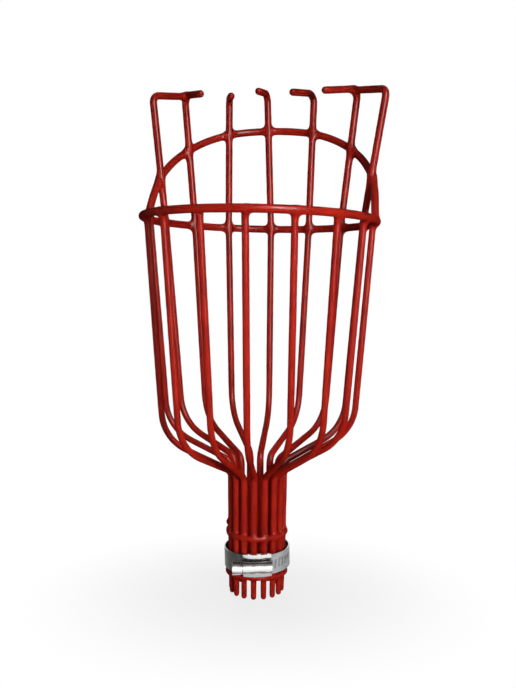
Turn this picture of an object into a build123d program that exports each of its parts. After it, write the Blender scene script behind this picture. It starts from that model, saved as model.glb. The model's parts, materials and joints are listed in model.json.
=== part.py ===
from build123d import *
import math
import os

# Fruit picking basket for the end of a pole. Millimetres, Z up the socket's axis,
# zero at the middle of the wire tips.
# Azimuth is counted in degrees from the front of the basket (-Y) towards +X.

# Welded wires, with their coat, and the rounding of their ends as a share of the diameter
WIRE_COUNT = 16
WIRE_STEP = 360 / WIRE_COUNT
RIB_D = 4.2
FINGER_D = 4.5
RING_D = 5.0
COLLAR_D = 3.0
TIP_ROUND = 0.47

# Line of every wire: socket, with its lower end leaning to the front, floor and wall
TIP_R = 15.8
SOCKET_R = 16.8
SOCKET_LEAN = 4.2
SOCKET_BEND = 7
SHOULDER_R = 60.0
SHOULDER_BEND = 28
WALL_R = 70.4
RING_Z = 235.0
RIB_END_RISE = 1.0
# Bends of each wire, from the front wire round, set by hand on the real basket: height of the socket bend,
# height of the shoulder, then degrees off the even spacing at the shoulder and at the mouth ring
WIRE_BENDS = [
    (76.0, 99.5, 0.5, -0.3),
    (76.0, 99.5, 1.5, -0.3),
    (76.4, 98.9, -0.5, 0.0),
    (78.5, 102.5, -3.0, -0.7),
    (78.5, 105.0, -1.0, -0.5),
    (82.0, 101.5, 4.5, 1.5),
    (82.5, 103.0, 2.8, 0.2),
    (84.0, 104.0, 1.2, -0.2),
    (84.5, 107.0, -1.2, -0.3),
    (86.0, 106.5, 1.2, 1.5),
    (83.5, 104.0, -2.5, 0.0),
    (85.0, 103.0, -4.5, 0.5),
    (83.0, 101.5, -8.0, -2.0),
    (77.4, 99.4, -1.2, -2.0),
    (77.4, 96.4, 1.2, -1.3),
    (75.5, 99.5, 2.7, 0.2),
]

# Mouth ring, a little out of level
RING_R = 72.5
RING_TILT = 0.8
RING_LEAN = 0.35

# Fingers from the viewer's left to right: azimuth, radius and height of the top corner
FIRST_FINGER_PLACE = 11
FINGER_TOPS = [
    (247.8, 81.4, 319.5),
    (225.9, 82.0, 325.0),
    (201.9, 82.0, 326.5),
    (182.9, 82.0, 330.7),
    (159.1, 82.0, 329.4),
    (133.2, 82.0, 327.6),
    (108.5, 82.4, 320.6),
]
FINGER_LEAN_BEND = 60
HOOK_BEND = 5.5
HOOK_LENGTH = 28.0
HOOK_TURN = 11.0
HOOK_DROOP = 8.0
BAR_END_IN = 3.0
BAR_END_DROP = 0.8

# Back arch: angle from the back, height, and distance outside the fingers, for points on its right half
ARCH_LINE = [
    (0, 304.4, 2.2),
    (11.25, 303.6, 2.2),
    (22.5, 301.0, 2.2),
    (33.75, 295.4, 2.2),
    (45, 287.4, 2.2),
    (56.25, 277.5, 2.1),
    (67.5, 265.0, 1.9),
    (75, 254.5, 1.2),
]
ARCH_FOOT_ANGLE = 85
ARCH_FOOT_Z = 236.0
LEFT_FOOT_OUT = 1.2
RIGHT_FOOT_OUT = -0.6
# Share of the room between two corners that a soft bend takes up
SOFT_SHARE = 0.94

# Collar rings round the socket
COLLAR_R = 18.2
UPPER_COLLAR_Z = 39.2
LOWER_COLLAR_Z = 13.5
LAP_START = -86
LAP_STEP = 15
LAP_RISE = [4.6, 4.6, 4.4, 3.3, 1.7, 0.5]
LAP_END = -131

# Hose clamp in its own frame: axis Z, housing at -Y, screw head at -X
CLAMP_AZIMUTH = 7.4
CLAMP_TILT = -2.0
CLAMP_LEAN = 4.2
CLAMP_Z = 23.9
BAND_IN_R = 19.7
BAND_T = 0.7
BAND_W = 12.4
LAYER_GAP = 0.35
HOUSING_T = 0.6
HOUSING_L = 17.9
HOUSING_HALF_ANGLE = 23.2
HOUSING_SIDE_GAP = 0.2
PAD_END_ANGLE = 21.2
GROOVES_FROM = 85.0
TAIL_TO = -40.0
TAIL_CORNER = 3.0
GROOVE_W = 1.7
GROOVE_L = 5.6
GROOVE_DEPTH = 0.4
WORM_PITCH = 3.0
WORM_R = 2.7
WORM_CORE_R = 1.9
WORM_GAP = 0.3
WORM_LENGTH = 15.0
THREAD_LENGTH = 13.0
THREAD_CREST = 0.6
THREAD_ROOT = 0.95
THREAD_BURY = 0.15
BARREL_R = 3.6
BARREL_BORE_R = 3.05
BARREL_END_T = 1.2
NECK_R = 1.7
PILOT_R = 1.3
RUNNING_GAP = 0.05
END_GAP = 0.25
HEAD_FLATS = 7.2
HEAD_ROUND_R = 3.95
HEAD_L = 5.0
HEAD_COLLAR_R = 3.7
HEAD_COLLAR_T = 1.2
DRIVER_SLOT_W = 1.2
DRIVER_SLOT_DEPTH = 1.8

# Radii that follow from the clamp's layers
BAND_OUT_R = BAND_IN_R + BAND_T
TAIL_IN_R = BAND_OUT_R + LAYER_GAP
TAIL_OUT_R = TAIL_IN_R + BAND_T
TAIL_MID_R = TAIL_IN_R + BAND_T / 2
ROOF_IN_R = TAIL_OUT_R + LAYER_GAP
ROOF_OUT_R = ROOF_IN_R + HOUSING_T
SCREW_OUT = TAIL_OUT_R + WORM_R + WORM_GAP
WALL_IN_Z = BAND_W / 2 + HOUSING_SIDE_GAP
WALL_OUT_Z = WALL_IN_Z + HOUSING_T


def polar(azimuth, radius, z):
    a = math.radians(azimuth)
    return Vector(radius * math.sin(a), -radius * math.cos(a), z)


def wire(points, radii, diameter, round_ends):
    """A round wire along straight runs joined by arcs, with the chosen ends rounded."""
    path = FilletPolyline(*points, radius=radii)
    section = Plane(origin=path @ 0, z_dir=path % 0) * Circle(diameter / 2)
    body = sweep(section, path=path)
    for end in round_ends:
        rim = body.edges().filter_by(GeomType.CIRCLE).sort_by_distance(path @ end)[0]
        body = fillet(rim, diameter * TIP_ROUND)
    return body


def soft_radii(points):
    """The largest bend radius that fits at each corner of a line of many short runs."""
    radii = []
    for a, b, c in zip(points, points[1:], points[2:]):
        turn = math.radians((b - a).get_angle(c - b))
        room = min((b - a).length, (c - b).length) / 2
        radii.append(SOFT_SHARE * room / math.tan(turn / 2))
    return radii


def ring_height(azimuth):
    """Height of the tilted mouth ring at an azimuth."""
    a = math.radians(azimuth)
    to_right = math.sin(a) * math.tan(math.radians(RING_TILT))
    to_front = math.cos(a) * math.tan(math.radians(RING_LEAN))
    return RING_Z + RING_R * (to_front - to_right)


def socket_drop(azimuth, radius):
    """How far the leaning ends of the socket lie below its middle at an azimuth."""
    return radius * math.cos(math.radians(azimuth)) * math.tan(math.radians(SOCKET_LEAN))


def wire_line(place):
    """Corner points of one wire from its tip up to the shoulder."""
    azimuth = place * WIRE_STEP
    socket_z, shoulder_z, shoulder_shift, _ = WIRE_BENDS[place]
    return [
        polar(azimuth, TIP_R, -socket_drop(azimuth, TIP_R)),
        polar(azimuth, SOCKET_R, socket_z),
        polar(azimuth + shoulder_shift, SHOULDER_R, shoulder_z),
    ]


def ring_azimuth(place):
    """Azimuth where a wire meets the mouth ring."""
    return place * WIRE_STEP + WIRE_BENDS[place][3]


def make_rib(place):
    azimuth = ring_azimuth(place)
    top = polar(azimuth, WALL_R, ring_height(azimuth) + RIB_END_RISE)
    return wire(wire_line(place) + [top], [SOCKET_BEND, SHOULDER_BEND], RIB_D, [0, 1])


def finger_line(number):
    """Corner points of a finger wire up to its top corner."""
    place = FIRST_FINGER_PLACE + 1 - number
    azimuth, radius, height = FINGER_TOPS[number - 1]
    at_ring = polar(ring_azimuth(place), WALL_R, RING_Z)
    return wire_line(place) + [at_ring, polar(azimuth, radius, height)]


def hook_direction(azimuth):
    """Direction of a hook: inwards, turned a little aside and drooping."""
    inward = polar(azimuth + 180 - HOOK_TURN, math.cos(math.radians(HOOK_DROOP)), 0)
    return inward - Vector(0, 0, math.sin(math.radians(HOOK_DROOP)))


def make_hooked_finger(number):
    line = finger_line(number)
    tip = line[-1] + hook_direction(FINGER_TOPS[number - 1][0]) * HOOK_LENGTH
    bends = [SOCKET_BEND, SHOULDER_BEND, FINGER_LEAN_BEND, HOOK_BEND]
    return wire(line + [tip], bends, FINGER_D, [0, 1])


def make_side_finger(number, neighbour, neighbour_wire):
    """An outer finger whose bar ends on the hook of the finger next to it."""
    line = finger_line(number)
    azimuth, radius, height = FINGER_TOPS[neighbour - 1]
    bar_end = polar(azimuth, radius, height - BAR_END_DROP) + hook_direction(azimuth) * BAR_END_IN
    bends = [SOCKET_BEND, SHOULDER_BEND, FINGER_LEAN_BEND, HOOK_BEND]
    whole = wire(line + [bar_end], bends, FINGER_D, [0])
    return largest(whole - neighbour_wire)


def largest(shape):
    return shape.solids().sort_by(SortBy.VOLUME)[-1]


def ring_quarter(radius, diameter, number):
    """A quarter of a closed ring, with its ends midway between two wires."""
    section = Plane.XZ * Pos(radius, 0) * Circle(diameter / 2)
    quarter = revolve(section, axis=Axis.Z, revolution_arc=90)
    return Rot(Z=90 * number - WIRE_STEP / 2) * quarter


def make_ring(radius, diameter, place, wires):
    """A closed ring with the seats of the wires welded to it, so that each pair meets face to face."""
    quarters = [minus_wires(place * ring_quarter(radius, diameter, n), wires) for n in range(4)]
    return quarters[0] + quarters[1] + quarters[2] + quarters[3]


def arch_point(angle, height, outside):
    _, top_radius, top_height = FINGER_TOPS[len(FINGER_TOPS) // 2]
    lean = (top_radius - WALL_R) / (top_height - RING_Z)
    return polar(180 + angle, WALL_R + lean * (height - RING_Z) + outside, height)


def make_back_arch():
    left_foot = polar(180 + ARCH_FOOT_ANGLE, RING_R + LEFT_FOOT_OUT, ARCH_FOOT_Z)
    right_foot = polar(180 - ARCH_FOOT_ANGLE, RING_R + RIGHT_FOOT_OUT, ARCH_FOOT_Z)
    left = [arch_point(angle, height, outside) for angle, height, outside in reversed(ARCH_LINE)]
    right = [arch_point(-angle, height, outside) for angle, height, outside in ARCH_LINE[1:]]
    points = [left_foot] + left + right + [right_foot]
    return wire(points, soft_radii(points), RING_D, [0, 1])


def make_upper_collar():
    """An open ring whose upper end laps over its lower end at the left."""
    first_flat = LAP_START - LAP_STEP * len(LAP_RISE)
    flat_steps = round((first_flat - LAP_END + 360) / LAP_STEP)
    points = []
    for step, rise in enumerate(LAP_RISE + [0] * (flat_steps + 1)):
        azimuth = LAP_START - LAP_STEP * step
        points.append(polar(azimuth, COLLAR_R, UPPER_COLLAR_Z + rise - socket_drop(azimuth, COLLAR_R)))
    return wire(points, soft_radii(points), COLLAR_D, [0, 1])


def minus_wires(body, wires):
    """Leaves the seats of the welded wires in a ring, so that each pair meets face to face."""
    for other in wires:
        body = body - other
    return largest(body)


def sector(inner, outer, from_azimuth, to_azimuth, height):
    """A curved plate about Z between two radii and two azimuths."""
    middle = (inner + outer) / 2
    face = Plane.XZ * Pos(middle, 0) * Rectangle(outer - inner, height)
    plate = revolve(face, axis=Axis.Z, revolution_arc=to_azimuth - from_azimuth)
    return Rot(Z=from_azimuth - 90) * plate


def make_clamp_tail():
    """The strip's free end over the pad, with its corners rounded."""
    tail = sector(TAIL_IN_R, TAIL_OUT_R, TAIL_TO, 0, BAND_W)
    corners = tail.edges().filter_by(GeomType.LINE).filter_by(Axis.Z, reverse=True)
    corners = corners.sort_by_distance(polar(TAIL_TO, TAIL_MID_R, 0))[:2]
    return fillet(corners, TAIL_CORNER)


def make_clamp_band():
    """The strip: a wide pad under the housing, round the left and the back, and over the pad as its free end."""
    shift = (TAIL_IN_R - BAND_IN_R) / 2
    left = sector(BAND_IN_R, BAND_OUT_R, -180, -HOUSING_HALF_ANGLE, BAND_W)
    pad = sector(BAND_IN_R, BAND_OUT_R, -HOUSING_HALF_ANGLE, PAD_END_ANGLE, 2 * WALL_OUT_Z)
    right = Pos(0, -shift, 0) * sector(BAND_IN_R + shift, BAND_OUT_R + shift, 0, 180, BAND_W)
    end = right + make_clamp_tail()
    slant = math.degrees(math.atan(WORM_PITCH / (2 * math.pi * WORM_R)))
    step = math.degrees(WORM_PITCH / TAIL_MID_R)
    cutter = Rot(Y=slant) * Box(GROOVE_W, 2 * GROOVE_DEPTH, GROOVE_L)
    for number in range(math.ceil(TAIL_TO / step) + 1, math.floor(GROOVES_FROM / step) + 1):
        centre = shift if number > 0 else 0
        end = end - Pos(0, -centre, 0) * Rot(Z=number * step) * Pos(0, centre - TAIL_OUT_R, 0) * cutter
    return left + pad + end


def along_screw(shape, start):
    """Places a shape built along Z on the screw's axis, its foot at a distance from the housing's middle."""
    place = Plane(origin=(start, -SCREW_OUT, 0), x_dir=(0, 1, 0), z_dir=(1, 0, 0))
    return place.location * shape


def rod(radius, length):
    return Cylinder(radius, length, align=(Align.CENTER, Align.CENTER, Align.MIN))


def make_clamp_housing():
    """Side walls on the pad, a roof over the tail and a barrel for the worm, closed at both ends."""
    half = HOUSING_HALF_ANGLE
    roof = sector(ROOF_IN_R, ROOF_OUT_R, -half, half, 2 * WALL_OUT_Z)
    wall = sector(BAND_OUT_R, ROOF_OUT_R, -half, half, HOUSING_T)
    wall_z = WALL_IN_Z + HOUSING_T / 2
    barrel = along_screw(rod(BARREL_R, HOUSING_L), -HOUSING_L / 2)
    barrel = barrel - Cylinder(ROOF_IN_R, 2 * WALL_OUT_Z)
    body = roof + Pos(0, 0, wall_z) * wall + Pos(0, 0, -wall_z) * wall + barrel
    bore_length = HOUSING_L - 2 * BARREL_END_T
    body = body - along_screw(rod(BARREL_BORE_R, bore_length), -bore_length / 2)
    body = body - along_screw(rod(NECK_R + RUNNING_GAP, HOUSING_L / 2), -HOUSING_L / 2)
    body = body - along_screw(rod(PILOT_R + RUNNING_GAP, HOUSING_L / 2), 0)
    return largest(body)


def make_worm():
    """The worm's core with its right-handed thread, along Z from zero."""
    core = rod(WORM_CORE_R, WORM_LENGTH)
    start = (WORM_LENGTH - THREAD_LENGTH) / 2
    path = Helix(pitch=WORM_PITCH, height=THREAD_LENGTH, radius=WORM_CORE_R)
    depth = WORM_R - WORM_CORE_R
    profile = Polygon(
        (-THREAD_BURY, -THREAD_ROOT / 2),
        (depth, -THREAD_CREST / 2),
        (depth, THREAD_CREST / 2),
        (-THREAD_BURY, THREAD_ROOT / 2),
        align=None,
    )
    section = Plane(origin=path @ 0, x_dir=(1, 0, 0), z_dir=path % 0) * profile
    thread = sweep(section, path=path, is_frenet=True)
    return core + Pos(0, 0, start) * thread


def make_clamp_screw():
    """Slotted hexagon head, neck, worm and pilot in one piece."""
    neck_start = -HOUSING_L / 2 - END_GAP
    neck_length = -WORM_LENGTH / 2 - neck_start
    head_start = neck_start - HEAD_COLLAR_T - HEAD_L
    head = extrude(RegularPolygon(HEAD_FLATS / 2, 6, major_radius=False), HEAD_L)
    head = head & rod(HEAD_ROUND_R, HEAD_L)
    slot = Pos(0, 0, DRIVER_SLOT_DEPTH / 2) * Box(DRIVER_SLOT_W, 2 * HEAD_FLATS, DRIVER_SLOT_DEPTH)
    head = head - slot
    screw = along_screw(make_worm(), -WORM_LENGTH / 2)
    screw = screw + along_screw(rod(NECK_R, neck_length), neck_start)
    screw = screw + along_screw(rod(HEAD_COLLAR_R, HEAD_COLLAR_T), neck_start - HEAD_COLLAR_T)
    screw = screw + along_screw(head, head_start)
    pilot_length = HOUSING_L / 2 - WORM_LENGTH / 2
    return screw + along_screw(rod(PILOT_R, pilot_length), WORM_LENGTH / 2)


def on_socket(shape):
    """Hangs a clamp piece on the socket, turned and tilted as the loose clamp lies."""
    return Pos(0, 0, CLAMP_Z) * Rot(Z=CLAMP_AZIMUTH) * Rot(Y=CLAMP_TILT) * Rot(X=CLAMP_LEAN) * shape


def build_parts():
    parts = {}
    finger_count = len(FINGER_TOPS)
    finger_places = [FIRST_FINGER_PLACE + 1 - n for n in range(1, finger_count + 1)]
    for number in range(2, finger_count):
        parts[f"finger_wire_{number}"] = make_hooked_finger(number)
    parts["finger_wire_1"] = make_side_finger(1, 2, parts["finger_wire_2"])
    last, before_last = f"finger_wire_{finger_count}", f"finger_wire_{finger_count - 1}"
    parts[last] = make_side_finger(finger_count, finger_count - 1, parts[before_last])
    rib_places = [place for place in range(WIRE_COUNT) if place not in finger_places]
    for number, place in enumerate(rib_places, start=1):
        parts[f"rib_wire_{number}"] = make_rib(place)
    wires = list(parts.values())
    fingers = [parts[f"finger_wire_{n}"] for n in range(1, finger_count + 1)]
    ring_place = Pos(0, 0, RING_Z) * Rot(Y=RING_TILT) * Rot(X=-RING_LEAN)
    parts["mouth_ring"] = make_ring(RING_R, RING_D, ring_place, wires)
    plain_ring = [ring_place * ring_quarter(RING_R, RING_D, n) for n in range(4)]
    parts["back_arch"] = minus_wires(make_back_arch(), fingers + plain_ring)
    parts["upper_collar_ring"] = minus_wires(make_upper_collar(), wires)
    parts["lower_collar_ring"] = make_ring(COLLAR_R, COLLAR_D, Pos(0, 0, LOWER_COLLAR_Z), wires)
    parts["clamp_band"] = on_socket(make_clamp_band())
    parts["clamp_housing"] = on_socket(make_clamp_housing())
    parts["clamp_screw"] = on_socket(make_clamp_screw())
    return parts


os.makedirs("parts", exist_ok=True)
for name, shape in build_parts().items():
    export_step(shape, f"parts/{name}.step")
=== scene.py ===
import json
import math
import bmesh
import bpy
from mathutils import Matrix, Vector, noise
from mathutils.bvhtree import BVHTree

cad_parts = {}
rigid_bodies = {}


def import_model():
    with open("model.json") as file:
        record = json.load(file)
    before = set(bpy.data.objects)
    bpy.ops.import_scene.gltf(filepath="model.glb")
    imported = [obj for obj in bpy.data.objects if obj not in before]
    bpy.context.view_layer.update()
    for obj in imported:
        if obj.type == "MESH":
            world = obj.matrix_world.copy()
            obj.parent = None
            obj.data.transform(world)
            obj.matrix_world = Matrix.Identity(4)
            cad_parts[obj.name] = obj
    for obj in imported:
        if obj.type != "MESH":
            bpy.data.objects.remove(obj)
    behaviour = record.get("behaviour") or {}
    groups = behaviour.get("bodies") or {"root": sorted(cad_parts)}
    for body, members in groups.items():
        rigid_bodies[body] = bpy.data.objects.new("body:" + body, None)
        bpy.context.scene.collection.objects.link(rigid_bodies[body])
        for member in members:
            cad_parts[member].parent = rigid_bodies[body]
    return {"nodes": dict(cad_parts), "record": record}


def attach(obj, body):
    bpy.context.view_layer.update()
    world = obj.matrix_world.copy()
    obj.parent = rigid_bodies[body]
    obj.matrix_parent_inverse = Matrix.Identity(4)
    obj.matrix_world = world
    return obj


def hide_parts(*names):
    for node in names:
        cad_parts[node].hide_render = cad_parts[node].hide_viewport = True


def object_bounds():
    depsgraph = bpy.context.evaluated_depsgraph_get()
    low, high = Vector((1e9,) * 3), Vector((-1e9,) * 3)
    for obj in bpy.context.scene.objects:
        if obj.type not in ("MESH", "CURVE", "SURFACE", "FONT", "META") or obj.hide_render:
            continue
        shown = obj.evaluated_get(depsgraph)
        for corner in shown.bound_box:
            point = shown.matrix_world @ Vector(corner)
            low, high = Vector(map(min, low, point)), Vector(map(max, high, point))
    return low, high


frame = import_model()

CAD_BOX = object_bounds()

# Names of the coated wires and the directions of the clamp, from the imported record
FINGERS = [f"finger_wire_{number}" for number in range(1, 8)]
RIBS = [f"rib_wire_{number}" for number in range(1, 10)]
WIRES = FINGERS + RIBS
JOINTS = {joint["name"]: joint for joint in frame["record"]["behaviour"]["joints"]}
CLAMP_MIDDLE = Vector(JOINTS["clamp_swivel"]["pos_m"])
CLAMP_UP = Vector(JOINTS["clamp_swivel"]["axis"])
CLAMP_SIDE = Vector(JOINTS["screw_turn"]["axis"])
CLAMP_OUT = CLAMP_SIDE.cross(CLAMP_UP)

# Noise keeps mostly between these two values
NOISE_SPAN = (0.3, 0.7)

# Red dip coat: colours as linear red, green and blue, sizes of its spots in metres,
# and its shine from face to edge
RED = (0.43, 0.0155, 0.0065, 1)
DEEP_RED = (0.32, 0.0095, 0.0045, 1)
CLOUD_SIZE = 0.018
CLOUD_EDGES = (0.32, 0.62)
SPOT_SIZE = 0.0022
SPOT_ROUGHNESS = (0.27, 0.45)
PEEL_SIZE = 0.0016
PEEL_STRENGTH = 0.22
PEEL_DEPTH = 0.0002
SHINE_ROUGHNESS = 0.30
SHINE_EDGES = (0.35, 0.75)
SHINE_WEIGHTS = (0.10, 0.01)

# Steel of the clamp's strip: painted shade and painted light from its shaded side to its lit one, and its
# brushed lines per metre
STRIP_PAINTED_SHADE = (0.050, 0.056, 0.051, 1)
STRIP_PAINTED_LIT = (0.47, 0.48, 0.485, 1)
STRIP_HALF = 0.021
PAINTED_STRIP_SHADING = [(0.36, 0.0), (0.80, 1.0), (0.99, 0.4)]
LINES_ALONG = 240.0
LINES_ACROSS = 2600.0
LINE_TONES = (-0.3, 0.3)
LINE_ROUGHNESS = (0.32, 0.48)
LINE_STRENGTH = 0.10
# Painted shade in the strip's grooves: the tone kept there, and the depths where it starts and ends
GROOVE_PAINTED_SHADE = 0.65
GROOVE_FLOOR = 0.0003
GROOVE_RIM = 0.0001

# Bright steel of the clamp's housing and screw: painted reflection and shade bands from the lower edge to
# the upper one, and its scuffs
HOUSING_HALF = 0.007
HOUSING_PAINTED_REFLECTIONS = [
    (0.00, 0.52),
    (0.24, 0.62),
    (0.318, 0.66),
    (0.343, 0.22),
    (0.395, 0.18),
    (0.425, 0.94),
    (0.62, 0.94),
    (0.665, 0.28),
    (0.70, 0.115),
    (0.83, 0.115),
    (0.85, 0.30),
    (0.87, 0.88),
    (1.00, 0.88),
]
# Wobble of the painted reflection bands
WAVE_SIZE = 0.004
WAVE_SHIFT = (-0.02, 0.02)
SCUFF_SIZE = 0.0012
SCUFF_ROUGHNESS = (0.16, 0.32)
SCUFF_STRENGTH = 0.06
STEEL_DEPTH = 0.0001

# Dip coat's shape: size of its small faces, reach of its fillets, depth of its lumps,
# and what it adds to a wire by height
WIRE_GRAIN = 0.00060
WELD_GRAIN = 0.00042
WELD_REACH = 0.0038
COLLAR_REACH = 0.0022
SINK = 0.00010
LUMP_DEPTH = 0.00006
LUMPS_PER_METRE = 170
OVERLAP = 0.00015
CUT_END_DEPTH = 0.00035
COAT_DEPTH = [
    (0.000, -0.00038),
    (0.012, -0.00030),
    (0.030, 0.00000),
    (0.074, 0.00006),
    (0.096, -0.00018),
    (0.150, -0.00002),
    (0.235, 0.00000),
    (0.262, 0.00020),
    (0.400, 0.00020),
]

# Heights between which each ring's coat takes in the wires it is welded to
RING_WELDS = (0.2240, 0.2455)
UPPER_COLLAR_WELDS = (0.0325, 0.0515)
LOWER_COLLAR_WELDS = (0.0065, 0.0203)
ARCH_WELD_HEIGHTS = [0.264, 0.284, 0.2985, 0.3035, 0.2985, 0.284, 0.264]
ARCH_WELD_HALF = 0.010
ARCH_FEET_TOP = 0.2465
BAR_WELD_LOW = 0.306

# Distances below which points are one, rounds of smoothing, what each round takes off a radius,
# and steps onto the coat
MERGE = 1e-6
TOUCH = 1e-7
SMOOTH_SHARE = 0.5
FIRST_ROUNDS = 2
WIRE_ROUNDS = 4
WIRE_LOSS = 0.000014
WELD_ROUNDS = 3
WELD_LOSS = 0.000010
SETTLE_STEPS = 4
LEAST_SLOPE = 0.25

# Clamp: width of the round on its pressed edges, angles in degrees that count as flat and sharp,
# and its strip's place
STRIP_EDGE = 0.00012
HOUSING_EDGE = 0.00014
SCREW_EDGE = 0.00012
FLAT_ANGLE = 0.3
SHARP_ANGLE = 30
STRIP_SHIFT = 0.000525
STRIP_OUT_R = 0.020925

# Camera at the photograph's place, turned round a little from the front
CAMERA_TURN = 6.2
CAMERA_DISTANCE = 0.560
CAMERA_HEIGHT = 0.1883
CAMERA_YAW = 0.036
CAMERA_PITCH = -3.149
CAMERA_ROLL = 0.519
CAMERA_LENS = 46.65
CAMERA_SENSOR = 36.0

# Lamps: place, point aimed at, width, height and power
LAMPS = {
    "key": ((0.39, -0.72, 0.24), (0, 0, 0.185), 0.20, 0.16, 0.70),
    "fill": ((-0.12, -0.45, 0.13), (0, 0, 0.09), 0.30, 0.20, 0.22),
    "top": ((0.05, -0.25, 1.0), (0, 0, 0.2), 0.20, 0.20, 0.3),
    "back": ((-0.24, 0.80, 0.42), (0, 0, 0.17), 0.60, 0.70, 6.0),
    "gloss": ((0.36, -0.73, 0.58), (0, 0, 0.25), 0.22, 0.55, 48.0),
}
KEY_SPREAD = 60

# Surround: the white world's light on the object, and the floor's bounce and whiteness
# near the object and far from it
WORLD_LIGHT = 0.035
FLOOR_SIZE = 8
FLOOR_ROUGHNESS = 0.9
BOUNCE_REACH = (0.06, 0.22)
BOUNCE = (0.40, 0.10)
WHITE_REACH = (0.02, 0.16)
WHITE_SHARE = (0.82, 1.0)


def new_finish(name):
    """A material with its node tree and its main shader."""
    material = bpy.data.materials.new(name)
    material.use_nodes = True
    return material, material.node_tree, material.node_tree.nodes["Principled BSDF"]


def add(tree, kind, *inputs, **options):
    """Adds a shader node, sets its options and fills its inputs in order with links or values."""
    made = tree.nodes.new("ShaderNode" + kind)
    for option, value in options.items():
        setattr(made, option, value)
    for socket, value in zip(made.inputs, inputs):
        if isinstance(value, bpy.types.NodeSocket):
            tree.links.new(value, socket)
        elif value is not None:
            socket.default_value = value
    return made.outputs[0]


def total(tree, first, second):
    return add(tree, "Math", first, second, operation="ADD")


def product(tree, first, second):
    return add(tree, "Math", first, second, operation="MULTIPLY")


def mottle(tree, place, size, detail):
    """Noise with spots of about the given size in metres."""
    return add(tree, "TexNoise", place, None, 1 / size, detail)


def spread(tree, value, low, high, to_low, to_high, **options):
    return add(tree, "MapRange", value, low, high, to_low, to_high, **options)


def ramp(tree, value, stops):
    """Colours along a value, given as (position, colour)."""
    made = tree.nodes.new("ShaderNodeValToRGB")
    bar = made.color_ramp.elements
    while len(bar) < len(stops):
        bar.new(1.0)
    for element, (position, colour) in zip(bar, stops):
        element.position = position
        element.color = colour
    tree.links.new(value, made.inputs[0])
    return made.outputs[0]


def grey(value):
    return (value, value * 0.985, value * 0.98, 1)


def grey_ramp(tree, value, tones):
    return ramp(tree, value, [(position, grey(tone)) for position, tone in tones])


def length_of(tree, vector):
    made = tree.nodes.new("ShaderNodeVectorMath")
    made.operation = "LENGTH"
    tree.links.new(vector, made.inputs[0])
    return made.outputs["Value"]


def bump(tree, shader, height, strength, depth):
    made = tree.nodes.new("ShaderNodeBump")
    made.inputs["Strength"].default_value = strength
    made.inputs["Distance"].default_value = depth
    tree.links.new(height, made.inputs["Height"])
    tree.links.new(made.outputs["Normal"], shader.inputs["Normal"])
    return made.outputs["Normal"]


def object_place(tree):
    return tree.nodes.new("ShaderNodeTexCoord").outputs["Object"]


def red_coat():
    """Glossy red dip coat with cloudy colour, orange peel and uneven gloss."""
    material, tree, shader = new_finish("red_dip_coat")
    place = object_place(tree)
    cloud = mottle(tree, place, CLOUD_SIZE, 3)
    colour = ramp(tree, cloud, list(zip(CLOUD_EDGES, (DEEP_RED, RED))))
    tree.links.new(colour, shader.inputs["Base Color"])
    spots = mottle(tree, place, SPOT_SIZE, 2)
    tree.links.new(spread(tree, spots, *NOISE_SPAN, *SPOT_ROUGHNESS), shader.inputs["Roughness"])
    shader.inputs["Specular IOR Level"].default_value = 0.0
    edge = tree.nodes.new("ShaderNodeLayerWeight").outputs["Facing"]
    tree.links.new(spread(tree, edge, *SHINE_EDGES, *SHINE_WEIGHTS), shader.inputs["Coat Weight"])
    shader.inputs["Coat Roughness"].default_value = SHINE_ROUGHNESS
    peel = mottle(tree, place, PEEL_SIZE, 2)
    rough = bump(tree, shader, peel, PEEL_STRENGTH, PEEL_DEPTH)
    tree.links.new(rough, shader.inputs["Coat Normal"])
    return material


def clamp_along(tree, direction):
    """Distance from the clamp's middle along a direction."""
    offset = add(tree, "VectorMath", object_place(tree), CLAMP_MIDDLE, operation="SUBTRACT")
    made = tree.nodes.new("ShaderNodeVectorMath")
    made.operation = "DOT_PRODUCT"
    tree.links.new(offset, made.inputs[0])
    made.inputs[1].default_value = direction
    return made.outputs["Value"]


def brushed_lines(tree):
    """Fine lines along the clamp's strip, stretched round it."""
    side = product(tree, clamp_along(tree, CLAMP_SIDE), LINES_ALONG)
    out = product(tree, clamp_along(tree, CLAMP_OUT), LINES_ALONG)
    across = product(tree, clamp_along(tree, CLAMP_UP), LINES_ACROSS)
    return add(tree, "TexNoise", add(tree, "CombineXYZ", side, out, across), None, 1.0, 3.0)


def groove_shade(tree):
    """Painted shade in the grooves: share of the strip's tone, one on its outer face and less in its
    grooves.
    """
    out = add(tree, "Math", clamp_along(tree, CLAMP_OUT), STRIP_SHIFT, operation="SUBTRACT")
    radius = length_of(tree, add(tree, "CombineXYZ", clamp_along(tree, CLAMP_SIDE), out))
    return spread(tree, radius, STRIP_OUT_R - GROOVE_FLOOR, STRIP_OUT_R - GROOVE_RIM, GROOVE_PAINTED_SHADE, 1.0)


def strip_steel():
    """Brushed steel strip with painted shade: darker on the side away from the light, and painted lit on
    the other side.
    """
    material, tree, shader = new_finish("brushed_strip_steel")
    side = spread(tree, clamp_along(tree, CLAMP_SIDE), -STRIP_HALF, STRIP_HALF, 0.0, 1.0)
    lines = brushed_lines(tree)
    streaks = spread(tree, lines, *NOISE_SPAN, *LINE_TONES)
    # Painted light and shade across the strip from side to side, with its brushed streaks
    tone = total(tree, grey_ramp(tree, side, PAINTED_STRIP_SHADING), streaks)
    # Painted shade darkens the grooves
    tone = product(tree, tone, groove_shade(tree))
    colour = ramp(tree, tone, [(0.0, STRIP_PAINTED_SHADE), (1.0, STRIP_PAINTED_LIT)])
    tree.links.new(colour, shader.inputs["Base Color"])
    shader.inputs["Metallic"].default_value = 1.0
    tree.links.new(spread(tree, lines, *NOISE_SPAN, *LINE_ROUGHNESS), shader.inputs["Roughness"])
    bump(tree, shader, lines, LINE_STRENGTH, STEEL_DEPTH)
    return material


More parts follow.
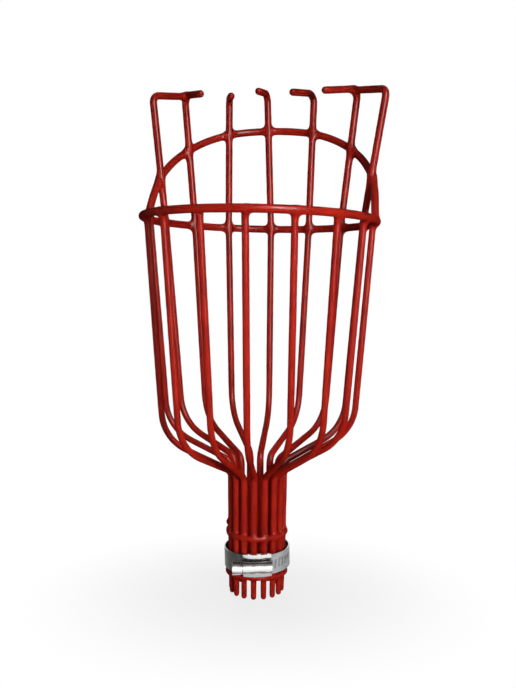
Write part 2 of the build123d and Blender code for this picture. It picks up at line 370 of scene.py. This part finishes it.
def bright_steel():
    """Bright pressed steel of the housing and screw, with painted reflections and shade: a dark band above
    the barrel, a dark line in the crease below it, and bright bands on the barrel and flanges.
    """
    material, tree, shader = new_finish("bright_clamp_steel")
    place = object_place(tree)
    across = spread(tree, clamp_along(tree, CLAMP_UP), -HOUSING_HALF, HOUSING_HALF, 0.0, 1.0)
    wave = spread(tree, mottle(tree, place, WAVE_SIZE, 2), *NOISE_SPAN, *WAVE_SHIFT)
    # Painted reflection and shade bands across the housing and screw, wobbled a little
    colour = grey_ramp(tree, total(tree, across, wave), HOUSING_PAINTED_REFLECTIONS)
    tree.links.new(colour, shader.inputs["Base Color"])
    shader.inputs["Metallic"].default_value = 1.0
    scuff = mottle(tree, place, SCUFF_SIZE, 3)
    tree.links.new(spread(tree, scuff, *NOISE_SPAN, *SCUFF_ROUGHNESS), shader.inputs["Roughness"])
    bump(tree, shader, scuff, SCUFF_STRENGTH, STEEL_DEPTH)
    return material


def new_piece(name, mesh):
    piece = bpy.data.objects.new(name, mesh)
    bpy.context.scene.collection.objects.link(piece)
    return piece


def merged_copy(name, low=None, high=None):
    """A node's mesh as one closed skin, cut off flat below and above the given heights."""
    skin = bmesh.new()
    skin.from_mesh(frame["nodes"][name].data)
    bmesh.ops.remove_doubles(skin, verts=skin.verts, dist=MERGE)
    for height, side in ((low, -1), (high, 1)):
        if height is None:
            continue
        everything = skin.verts[:] + skin.edges[:] + skin.faces[:]
        bmesh.ops.bisect_plane(skin, geom=everything, plane_co=(0, 0, height),
                               plane_no=(0, 0, side), clear_outer=True)
        rims = [edge for edge in skin.edges if edge.is_boundary]
        bmesh.ops.holes_fill(skin, edges=rims, sides=0)
    return skin


def swollen_copy(name, low, high):
    """A cut-off copy of a wire, thick enough to leave no gap in the seat of the ring round it."""
    skin = merged_copy(name, low, high)
    skin.normal_update()
    for vertex in skin.verts:
        vertex.co += vertex.normal * OVERLAP
    return skin


def drop_bubbles(mesh):
    """Leaves only the largest closed skin of a mesh."""
    skin = bmesh.new()
    skin.from_mesh(mesh)
    left = set(skin.verts)
    shells = []
    while left:
        shell = [left.pop()]
        for vertex in shell:
            for edge in vertex.link_edges:
                other = edge.other_vert(vertex)
                if other in left:
                    left.remove(other)
                    shell.append(other)
        shells.append(shell)
    shells.sort(key=len)
    for shell in shells[:-1]:
        bmesh.ops.delete(skin, geom=shell, context="VERTS")
    skin.to_mesh(mesh)
    skin.free()


def fused(name, skins, grain):
    """Several skins melted into one closed piece of even small faces."""
    whole = bmesh.new()
    for skin in skins:
        shell = bpy.data.meshes.new(name)
        skin.to_mesh(shell)
        whole.from_mesh(shell)
        skin.free()
        bpy.data.meshes.remove(shell)
    rough = bpy.data.meshes.new(name)
    whole.to_mesh(rough)
    whole.free()
    piece = new_piece(name, rough)
    melt = piece.modifiers.new("melt", "REMESH")
    melt.mode = "VOXEL"
    melt.voxel_size = grain
    melted = piece.evaluated_get(bpy.context.evaluated_depsgraph_get())
    piece.data = bpy.data.meshes.new_from_object(melted)
    piece.modifiers.clear()
    bpy.data.meshes.remove(rough)
    drop_bubbles(piece.data)
    return piece


def relax(piece, rounds, loss=0.0):
    """Smooths a piece's small faces and gives back the thickness that each round takes off."""
    skin = bmesh.new()
    skin.from_mesh(piece.data)
    for _ in range(rounds):
        bmesh.ops.smooth_vert(skin, verts=skin.verts, factor=SMOOTH_SHARE,
                              use_axis_x=True, use_axis_y=True, use_axis_z=True)
    skin.normal_update()
    for vertex in skin.verts:
        vertex.co += vertex.normal * rounds * loss
    skin.to_mesh(piece.data)
    skin.free()


def tree_of(names):
    """The solids of some nodes, for finding the nearest point on them."""
    whole = bmesh.new()
    for name in names:
        whole.from_mesh(frame["nodes"][name].data)
    tree = BVHTree.FromBMesh(whole)
    whole.free()
    return tree


def distance(tree, point):
    """How far a point lies outside a solid, and the direction away from it."""
    near, normal, _, far = tree.find_nearest(point)
    if far < TOUCH:
        return 0.0, normal
    away = point - near
    if away.dot(normal) < 0:
        far = -far
    return far, away / far


def coat_depth(height):
    """What the coat adds to a wire's radius at a height."""
    for (low, first), (high, second) in zip(COAT_DEPTH, COAT_DEPTH[1:]):
        if height < high:
            share = max((height - low) / (high - low), 0)
            return first + (second - first) * share * share * (3 - 2 * share)
    return COAT_DEPTH[-1][1]


def lump(point):
    return LUMP_DEPTH * noise.noise(point * LUMPS_PER_METRE)


def soft_union(first, second, reach):
    """Two distances joined with a fillet of the coat's reach between them."""
    a, a_away = first
    b, b_away = second
    share = min(max(0.5 + 0.5 * (b - a) / reach, 0), 1)
    value = b + (a - b) * share - reach * share * (1 - share)
    return value, b_away.lerp(a_away, share)


def weld_surface(point, wires, rings, reach):
    """Distance from the fused coat, its slope, and the distance from the nearest solid alone.

    Away from a weld the fused coat sinks a little below the coat of the wire.
    """
    parts = []
    for tree in wires:
        far, away = distance(tree, point)
        parts.append((far - coat_depth(point.z), away))
    near_wire = min(part[0] for part in parts)
    parts += [distance(tree, point) for tree in rings]
    parts.sort(key=lambda part: part[0])
    value, slope = parts[0]
    for part in parts[1:]:
        value, slope = soft_union((value, slope), part, reach)
    if parts[0][0] == near_wire:
        value += SINK * min(max((parts[1][0] - reach) / WELD_GRAIN, 0), 1)
    return value - lump(point), slope, parts[0][0]


def settle_welds(piece, wires, rings, reach):
    """Moves a fused piece's skin onto the coat's surface. The cut ends stay inside the wires."""
    for vertex in piece.data.vertices:
        point = vertex.co.copy()
        for _ in range(SETTLE_STEPS):
            value, slope, bare = weld_surface(point, wires, rings, reach)
            if bare < -CUT_END_DEPTH:
                break
            step = value / max(slope.length_squared, LEAST_SLOPE)
            point -= slope * min(max(step, -WELD_GRAIN), WELD_GRAIN)
        vertex.co = point
    relax(piece, WELD_ROUNDS, WELD_LOSS)


def dress(piece, finish, body, node=None):
    """Gives a piece its finish and its body, and lets it stand for a node."""
    piece.data.materials.clear()
    piece.data.materials.append(finish)
    piece.data.polygons.foreach_set("use_smooth", [True] * len(piece.data.polygons))
    piece.data.update()
    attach(piece, body)
    if node:
        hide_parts(node)


def coat_wire(name, finish):
    """One wire's coat: thin at its tip, thicker on the fingers, with soft lumps."""
    piece = fused(name + "_coat", [merged_copy(name)], WIRE_GRAIN)
    tree = tree_of([name])
    for vertex in piece.data.vertices:
        point = vertex.co
        far, away = distance(tree, point)
        vertex.co = point - away * (far - coat_depth(point.z) - lump(point))
    relax(piece, WIRE_ROUNDS, WIRE_LOSS)
    dress(piece, finish, "basket", name)


def coat_welds(name, skins, wires, rings, finish, node=None, reach=WELD_REACH):
    """A coat with fillets where it takes in other pieces. Wires and rings are groups of nodes."""
    piece = fused(name, skins, WELD_GRAIN)
    relax(piece, FIRST_ROUNDS)
    wires = [tree_of(group) for group in wires]
    rings = [tree_of(group) for group in rings]
    settle_welds(piece, wires, rings, reach)
    dress(piece, finish, "basket", node)


def coat_collar(node, welds, finish):
    """A collar ring's coat with its fillets at the wires between two heights."""
    skins = [swollen_copy(name, *welds) for name in WIRES] + [merged_copy(node)]
    coat_welds(node + "_coat", skins, [WIRES], [[node]], finish, node, COLLAR_REACH)


def coat_mouth_ring(finish):
    """The mouth ring's coat with its fillets at all wires and at the feet of the back arch."""
    skins = [swollen_copy(name, *RING_WELDS) for name in WIRES]
    skins.append(swollen_copy("back_arch", None, ARCH_FEET_TOP))
    skins.append(merged_copy("mouth_ring"))
    coat_welds("mouth_ring_coat", skins, [WIRES, ["back_arch"]], [["mouth_ring"]], finish, "mouth_ring")


def coat_back_arch(finish):
    """The back arch's coat with its fillets at the fingers."""
    skins = []
    for name, height in zip(FINGERS, ARCH_WELD_HEIGHTS):
        skins.append(swollen_copy(name, height - ARCH_WELD_HALF, height + ARCH_WELD_HALF))
    skins.append(merged_copy("back_arch"))
    coat_welds("back_arch_coat", skins, [FINGERS], [["back_arch"]], finish, "back_arch")


def coat_bar_weld(name, finger, neighbour, finish):
    """The fillet where an outer finger's bar meets the hook of the finger next to it."""
    skins = [swollen_copy(finger, BAR_WELD_LOW, None), swollen_copy(neighbour, BAR_WELD_LOW, None)]
    coat_welds(name, skins, [[finger], [neighbour]], [], finish)


def edged_steel(node, edge_round, finish, body):
    """A pressed steel piece with its sharp edges broken by a narrow round."""
    skin = merged_copy(node)
    bmesh.ops.dissolve_limit(skin, angle_limit=math.radians(FLAT_ANGLE), verts=skin.verts, edges=skin.edges)
    sharp = [edge for edge in skin.edges if edge.calc_face_angle() > math.radians(SHARP_ANGLE)]
    bmesh.ops.bevel(skin, geom=sharp, offset=edge_round, offset_type="OFFSET", affect="EDGES",
                    segments=2, profile=0.5, clamp_overlap=False, material=-1)
    bmesh.ops.triangulate(skin, faces=skin.faces)
    mesh = bpy.data.meshes.new(node + "_steel")
    skin.to_mesh(mesh)
    skin.free()
    piece = new_piece(node + "_steel", mesh)
    piece.modifiers.new("even_shading", "WEIGHTED_NORMAL")
    dress(piece, finish, body, node)


def turn(degrees, axis):
    return Matrix.Rotation(math.radians(degrees), 4, axis)


def place_camera():
    data = bpy.data.cameras.new("camera")
    data.lens = CAMERA_LENS
    data.sensor_width = CAMERA_SENSOR
    camera = new_piece("camera", data)
    stand = turn(CAMERA_TURN, "Z") @ Matrix.Translation((0, -CAMERA_DISTANCE, CAMERA_HEIGHT))
    aim = turn(CAMERA_YAW, "Z") @ turn(90 + CAMERA_PITCH, "X") @ turn(CAMERA_ROLL, "Z")
    camera.matrix_world = stand @ aim
    bpy.context.scene.camera = camera


def area_light(name, place, aim, width, height, power):
    data = bpy.data.lights.new(name, "AREA")
    data.shape = "RECTANGLE"
    data.size = width
    data.size_y = height
    data.energy = power
    lamp = new_piece(name, data)
    lamp.location = place
    lamp.rotation_euler = (Vector(aim) - Vector(place)).to_track_quat("-Z", "Y").to_euler()


def shine_on_coat(name, finish):
    """Keeps a lamp to the pieces of one finish, so that it leaves no streak on the steel."""
    coated = bpy.data.collections.new("coated_pieces")
    for piece in bpy.context.scene.objects:
        if piece.type == "MESH" and finish.name in piece.data.materials:
            coated.objects.link(piece)
    bpy.data.objects[name].light_linking.receiver_collection = coated


def seen_directly(tree):
    """One for rays from the camera and for what shiny or clear things show, else zero."""
    path = tree.nodes.new("ShaderNodeLightPath").outputs
    seen = add(tree, "Math", path["Is Camera Ray"], path["Is Glossy Ray"], operation="MAXIMUM")
    return add(tree, "Math", seen, path["Is Transmission Ray"], operation="MAXIMUM")


def white_world():
    world = bpy.data.worlds.new("studio")
    bpy.context.scene.world = world
    world.use_nodes = True
    tree = world.node_tree
    back = tree.nodes["Background"]
    back.inputs["Color"].default_value = (1, 1, 1, 1)
    strength = spread(tree, seen_directly(tree), 0.0, 1.0, WORLD_LIGHT, 1.0)
    tree.links.new(strength, back.inputs["Strength"])


def pale_floor():
    """A pale floor that keeps the object's shadow near it and fades into the white background."""
    bpy.ops.mesh.primitive_plane_add(size=FLOOR_SIZE)
    floor = bpy.context.object
    floor.name = "floor"
    floor.location = (0, 0, CAD_BOX[0][2])
    material, tree, shader = new_finish("pale_floor")
    shader.inputs["Roughness"].default_value = FLOOR_ROUGHNESS
    shader.inputs["Specular IOR Level"].default_value = 0.0
    radius = length_of(tree, object_place(tree))
    bounce = spread(tree, radius, *BOUNCE_REACH, *BOUNCE, interpolation_type="SMOOTHSTEP")
    tree.links.new(bounce, shader.inputs["Base Color"])
    white = spread(tree, radius, *WHITE_REACH, *WHITE_SHARE, interpolation_type="SMOOTHSTEP")
    share = product(tree, seen_directly(tree), white)
    glow = add(tree, "Emission", (1, 1, 1, 1), 1.0)
    mixed = add(tree, "MixShader", share, shader.outputs[0], glow)
    tree.links.new(mixed, tree.nodes["Material Output"].inputs["Surface"])
    floor.data.materials.append(material)


coat = red_coat()
strip = strip_steel()
steel = bright_steel()
for node in frame["nodes"].values():
    node.data.materials.clear()
    node.data.materials.append(steel if node.name.startswith("clamp") else coat)

for name in WIRES:
    coat_wire(name, coat)
coat_mouth_ring(coat)
coat_back_arch(coat)
coat_collar("upper_collar_ring", UPPER_COLLAR_WELDS, coat)
coat_collar("lower_collar_ring", LOWER_COLLAR_WELDS, coat)
coat_bar_weld("left_bar_weld", "finger_wire_1", "finger_wire_2", coat)
coat_bar_weld("right_bar_weld", "finger_wire_7", "finger_wire_6", coat)
edged_steel("clamp_band", STRIP_EDGE, strip, "clamp")
edged_steel("clamp_housing", HOUSING_EDGE, steel, "clamp")
edged_steel("clamp_screw", SCREW_EDGE, steel, "clamp_screw")

place_camera()
white_world()
pale_floor()
for name, values in LAMPS.items():
    area_light(name, *values)
bpy.data.lights["key"].spread = math.radians(KEY_SPREAD)
bpy.data.objects["gloss"].visible_diffuse = False
shine_on_coat("gloss", coat)
bpy.context.scene.view_settings.view_transform = "Standard"
